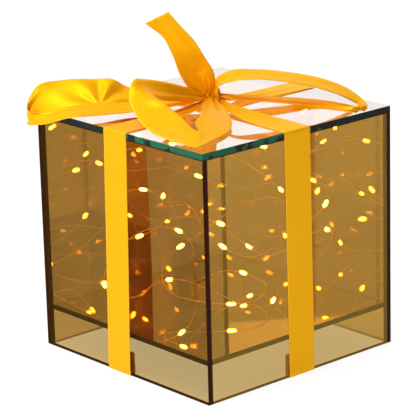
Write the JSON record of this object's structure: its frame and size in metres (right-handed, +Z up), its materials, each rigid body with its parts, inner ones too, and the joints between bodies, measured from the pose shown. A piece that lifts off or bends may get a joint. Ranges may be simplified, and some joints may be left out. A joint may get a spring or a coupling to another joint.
{
  "type": "light-up gift box",
  "caption": "Glass gift box ornament: a half-mirror amber cube with a mirror floor, a wire string of small lamps, a battery case in the base and a satin ribbon bow.",
  "frame": {"origin": "centre of the open base, on the surface that the box stands on", "axes": "+X to the right along the front face, +Y to the back, +Z up"},
  "size_m": [0.1525, 0.1636, 0.212],
  "materials": {
    "amber_glass": "amber half-mirror float glass with ground edges",
    "clear_plate_glass": "clear half-mirror float glass with green polished edges",
    "floor_mirror": "mirror glass with a dark edge",
    "clear_glue": "clear set adhesive",
    "hot_melt": "translucent hot melt",
    "case_plastic": "white moulded plastic with a fine texture",
    "cell_jacket": "printed shrink jacket, plain colours",
    "nickel_contact": "nickel plated spring steel",
    "foam_tape": "white foam tape",
    "board_laminate": "green lacquered laminate",
    "chip_resin": "black resin drop",
    "switch_metal": "pressed tinned steel",
    "knob_plastic": "black moulded plastic",
    "lead_vinyl": "clear vinyl sleeve over two cores",
    "copper_wire": "lacquered copper wire",
    "lamp_resin": "clear resin drop over a lit warm white lamp",
    "satin_ribbon": "golden yellow satin with woven edges"
  },
  "bodies": {
    "box": {"front_glass_panel": "amber_glass", "back_glass_panel": "amber_glass", "left_glass_panel": "amber_glass", "right_glass_panel": "amber_glass", "top_glass_plate": "clear_plate_glass", "mirror_floor_panel": "floor_mirror", "corner_glue_lines": "clear_glue", "plate_glue_line": "clear_glue", "floor_silicone_joint": "clear_glue", "wire_hole_plug": "hot_melt", "battery_case": "case_plastic", "switch_bay_cover": "case_plastic", "battery_cell_1": "cell_jacket", "battery_cell_2": "cell_jacket", "battery_cell_3": "cell_jacket", "contact_springs": "nickel_contact", "contact_plates": "nickel_contact", "foam_tape_pads": "foam_tape", "timer_board": "board_laminate", "timer_chip": "chip_resin", "slide_switch_body": "switch_metal", "lead_sleeve": "lead_vinyl", "light_string_wire": "copper_wire", "lamp_drops": "lamp_resin", "ribbon_strap_front": "satin_ribbon", "ribbon_strap_right": "satin_ribbon", "ribbon_strap_back": "satin_ribbon", "ribbon_strap_left": "satin_ribbon", "bow_knot": "satin_ribbon", "bow_loop_left": "satin_ribbon", "bow_loop_front": "satin_ribbon", "bow_loop_right": "satin_ribbon", "bow_tail_upright": "satin_ribbon"},
    "battery_cover": {"battery_cover": "case_plastic"},
    "switch_knob": {"slide_switch_knob": "knob_plastic"}
  },
  "joints": [
    {"name": "battery_cover_slide", "type": "slide", "parent": "box", "child": "battery_cover", "axis": [1, 0, 0], "range_m": [0, 0.048]},
    {"name": "switch_slide", "type": "slide", "parent": "box", "child": "switch_knob", "axis": [1, 0, 0], "range_m": [0, 0.004]}
  ]
}
